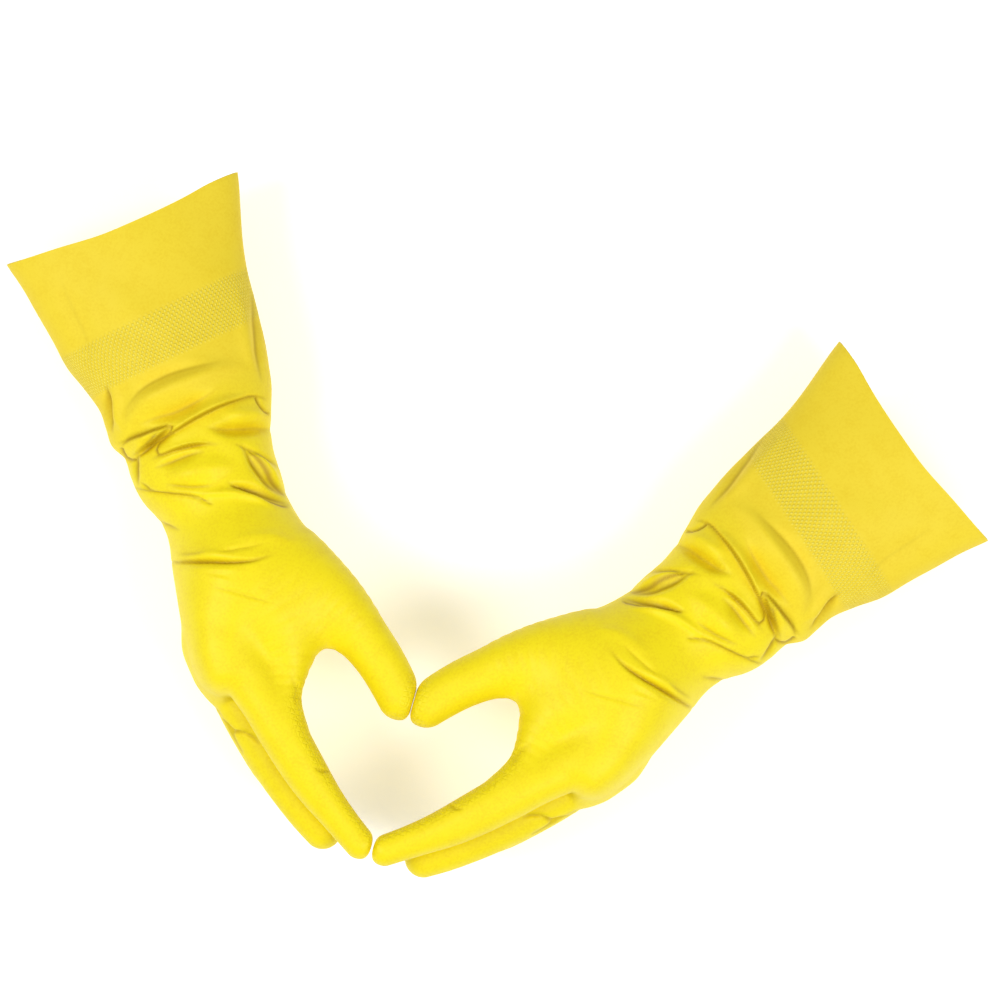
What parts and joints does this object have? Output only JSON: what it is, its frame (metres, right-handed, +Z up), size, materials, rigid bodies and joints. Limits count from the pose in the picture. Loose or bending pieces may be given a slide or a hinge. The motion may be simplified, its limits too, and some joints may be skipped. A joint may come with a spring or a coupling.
{
  "type": "household gloves",
  "caption": "Pair of long-cuffed yellow rubber household gloves in a worn, hands-together shape, with bending wrists and digits.",
  "frame": {"origin": "centre of the bounding box's bottom, on the surface that the pair lies on", "axes": "+X across the pair from the left glove to the right one, +Y from the finger ends towards the cuffs, +Z up"},
  "size_m": [0.4548, 0.2831, 0.0886],
  "materials": {
    "latex": "satin, moulded natural rubber",
    "flock": "matte cotton flock"
  },
  "bodies": {
    "left_palm_body": {"left_palm": "latex", "left_palm_lining": "flock"},
    "left_cuff_body": {"left_cuff": "latex", "left_cuff_lining": "flock"},
    "left_thumb_root_body": {"left_thumb_root": "latex", "left_thumb_root_lining": "flock"},
    "left_thumb_tip_body": {"left_thumb_tip": "latex", "left_thumb_tip_lining": "flock"},
    "left_index_root_body": {"left_index_root": "latex", "left_index_root_lining": "flock"},
    "left_index_tip_body": {"left_index_tip": "latex", "left_index_tip_lining": "flock"},
    "left_middle_root_body": {"left_middle_root": "latex", "left_middle_root_lining": "flock"},
    "left_middle_tip_body": {"left_middle_tip": "latex", "left_middle_tip_lining": "flock"},
    "left_ring_root_body": {"left_ring_root": "latex", "left_ring_root_lining": "flock"},
    "left_ring_tip_body": {"left_ring_tip": "latex", "left_ring_tip_lining": "flock"},
    "left_little_root_body": {"left_little_root": "latex", "left_little_root_lining": "flock"},
    "left_little_tip_body": {"left_little_tip": "latex", "left_little_tip_lining": "flock"},
    "right_palm_body": {"right_palm": "latex", "right_palm_lining": "flock"},
    "right_cuff_body": {"right_cuff": "latex", "right_cuff_lining": "flock"},
    "right_thumb_root_body": {"right_thumb_root": "latex", "right_thumb_root_lining": "flock"},
    "right_thumb_tip_body": {"right_thumb_tip": "latex", "right_thumb_tip_lining": "flock"},
    "right_index_root_body": {"right_index_root": "latex", "right_index_root_lining": "flock"},
    "right_index_tip_body": {"right_index_tip": "latex", "right_index_tip_lining": "flock"},
    "right_middle_root_body": {"right_middle_root": "latex", "right_middle_root_lining": "flock"},
    "right_middle_tip_body": {"right_middle_tip": "latex", "right_middle_tip_lining": "flock"},
    "right_ring_root_body": {"right_ring_root": "latex", "right_ring_root_lining": "flock"},
    "right_ring_tip_body": {"right_ring_tip": "latex", "right_ring_tip_lining": "flock"},
    "right_little_root_body": {"right_little_root": "latex", "right_little_root_lining": "flock"},
    "right_little_tip_body": {"right_little_tip": "latex", "right_little_tip_lining": "flock"}
  },
  "joints": [
    {"name": "left_wrist", "type": "hinge", "parent": "left_palm_body", "child": "left_cuff_body", "pos_m": [-0.11, -0.002, 0.044], "axis": [0, 0, 1], "range_deg": [-20, 20], "stiffness_Nm_per_rad": 0.05},
    {"name": "left_thumb_base", "type": "hinge", "parent": "left_palm_body", "child": "left_thumb_root_body", "pos_m": [-0.06, -0.027, 0.064], "axis": [0, 0, 1], "range_deg": [-20, 0], "stiffness_Nm_per_rad": 0.01},
    {"name": "left_thumb_bend", "type": "hinge", "parent": "left_thumb_root_body", "child": "left_thumb_tip_body", "pos_m": [-0.02998, -0.04687, 0.064], "axis": [0, 0, 1], "range_deg": [-10, 0], "stiffness_Nm_per_rad": 0.005},
    {"name": "left_index_base", "type": "hinge", "parent": "left_palm_body", "child": "left_index_root_body", "pos_m": [-0.078, -0.076, 0.077], "axis": [0, 0, 1], "range_deg": [-30, 0], "stiffness_Nm_per_rad": 0.01},
    {"name": "left_index_bend", "type": "hinge", "parent": "left_index_root_body", "child": "left_index_tip_body", "pos_m": [-0.04391, -0.10835, 0.077], "axis": [0, 0, 1], "range_deg": [-10.5, 0], "stiffness_Nm_per_rad": 0.005},
    {"name": "left_middle_base", "type": "hinge", "parent": "left_palm_body", "child": "left_middle_root_body", "pos_m": [-0.087, -0.079, 0.055], "axis": [0, 0, 1], "range_deg": [-28, 12], "stiffness_Nm_per_rad": 0.01},
    {"name": "left_middle_bend", "type": "hinge", "parent": "left_middle_root_body", "child": "left_middle_tip_body", "pos_m": [-0.05435, -0.11281, 0.055], "axis": [0, 0, 1], "range_deg": [-11.2, 4.8], "stiffness_Nm_per_rad": 0.005},
    {"name": "left_ring_base", "type": "hinge", "parent": "left_palm_body", "child": "left_ring_root_body", "pos_m": [-0.09, -0.078, 0.033], "axis": [0, 0, 1], "range_deg": [-28, 12], "stiffness_Nm_per_rad": 0.01},
    {"name": "left_ring_bend", "type": "hinge", "parent": "left_ring_root_body", "child": "left_ring_tip_body", "pos_m": [-0.05944, -0.10965, 0.033], "axis": [0, 0, 1], "range_deg": [-11.2, 4.8], "stiffness_Nm_per_rad": 0.005},
    {"name": "left_little_base", "type": "hinge", "parent": "left_palm_body", "child": "left_little_root_body", "pos_m": [-0.09, -0.071, 0.0116], "axis": [0, 0, 1], "range_deg": [-28, 12], "stiffness_Nm_per_rad": 0.01},
    {"name": "left_little_bend", "type": "hinge", "parent": "left_little_root_body", "child": "left_little_tip_body", "pos_m": [-0.0641, -0.09601, 0.0116], "axis": [0, 0, 1], "range_deg": [-11.2, 4.8], "stiffness_Nm_per_rad": 0.005},
    {"name": "pair_part", "type": "slide", "parent": "left_palm_body", "child": "right_palm_body", "axis": [1, 0, 0], "range_m": [0, 0.15]},
    {"name": "right_wrist", "type": "hinge", "parent": "right_palm_body", "child": "right_cuff_body", "pos_m": [0.11, -0.002, 0.044], "axis": [0, 0, -1], "range_deg": [-20, 20], "stiffness_Nm_per_rad": 0.05},
    {"name": "right_thumb_base", "type": "hinge", "parent": "right_palm_body", "child": "right_thumb_root_body", "pos_m": [0.06, -0.027, 0.064], "axis": [0, 0, -1], "range_deg": [-20, 0], "stiffness_Nm_per_rad": 0.01},
    {"name": "right_thumb_bend", "type": "hinge", "parent": "right_thumb_root_body", "child": "right_thumb_tip_body", "pos_m": [0.02998, -0.04687, 0.064], "axis": [0, 0, -1], "range_deg": [-10, 0], "stiffness_Nm_per_rad": 0.005},
    {"name": "right_index_base", "type": "hinge", "parent": "right_palm_body", "child": "right_index_root_body", "pos_m": [0.078, -0.076, 0.077], "axis": [0, 0, -1], "range_deg": [-30, 0], "stiffness_Nm_per_rad": 0.01},
    {"name": "right_index_bend", "type": "hinge", "parent": "right_index_root_body", "child": "right_index_tip_body", "pos_m": [0.04391, -0.10835, 0.077], "axis": [0, 0, -1], "range_deg": [-10.5, 0], "stiffness_Nm_per_rad": 0.005},
    {"name": "right_middle_base", "type": "hinge", "parent": "right_palm_body", "child": "right_middle_root_body", "pos_m": [0.087, -0.079, 0.055], "axis": [0, 0, -1], "range_deg": [-28, 12], "stiffness_Nm_per_rad": 0.01},
    {"name": "right_middle_bend", "type": "hinge", "parent": "right_middle_root_body", "child": "right_middle_tip_body", "pos_m": [0.05435, -0.11281, 0.055], "axis": [0, 0, -1], "range_deg": [-11.2, 4.8], "stiffness_Nm_per_rad": 0.005},
    {"name": "right_ring_base", "type": "hinge", "parent": "right_palm_body", "child": "right_ring_root_body", "pos_m": [0.09, -0.078, 0.033], "axis": [0, 0, -1], "range_deg": [-28, 12], "stiffness_Nm_per_rad": 0.01},
    {"name": "right_ring_bend", "type": "hinge", "parent": "right_ring_root_body", "child": "right_ring_tip_body", "pos_m": [0.05944, -0.10965, 0.033], "axis": [0, 0, -1], "range_deg": [-11.2, 4.8], "stiffness_Nm_per_rad": 0.005},
    {"name": "right_little_base", "type": "hinge", "parent": "right_palm_body", "child": "right_little_root_body", "pos_m": [0.09, -0.071, 0.0116], "axis": [0, 0, -1], "range_deg": [-28, 12], "stiffness_Nm_per_rad": 0.01},
    {"name": "right_little_bend", "type": "hinge", "parent": "right_little_root_body", "child": "right_little_tip_body", "pos_m": [0.0641, -0.09601, 0.0116], "axis": [0, 0, -1], "range_deg": [-11.2, 4.8], "stiffness_Nm_per_rad": 0.005}
  ],
  "couplings": [
    {"joint": "left_thumb_bend", "follows": "left_thumb_base", "ratio": 0.5},
    {"joint": "left_index_bend", "follows": "left_index_base", "ratio": 0.35},
    {"joint": "left_middle_bend", "follows": "left_middle_base", "ratio": 0.4},
    {"joint": "left_ring_bend", "follows": "left_ring_base", "ratio": 0.4},
    {"joint": "left_little_bend", "follows": "left_little_base", "ratio": 0.4},
    {"joint": "right_thumb_bend", "follows": "right_thumb_base", "ratio": 0.5},
    {"joint": "right_index_bend", "follows": "right_index_base", "ratio": 0.35},
    {"joint": "right_middle_bend", "follows": "right_middle_base", "ratio": 0.4},
    {"joint": "right_ring_bend", "follows": "right_ring_base", "ratio": 0.4},
    {"joint": "right_little_bend", "follows": "right_little_base", "ratio": 0.4}
  ]
}
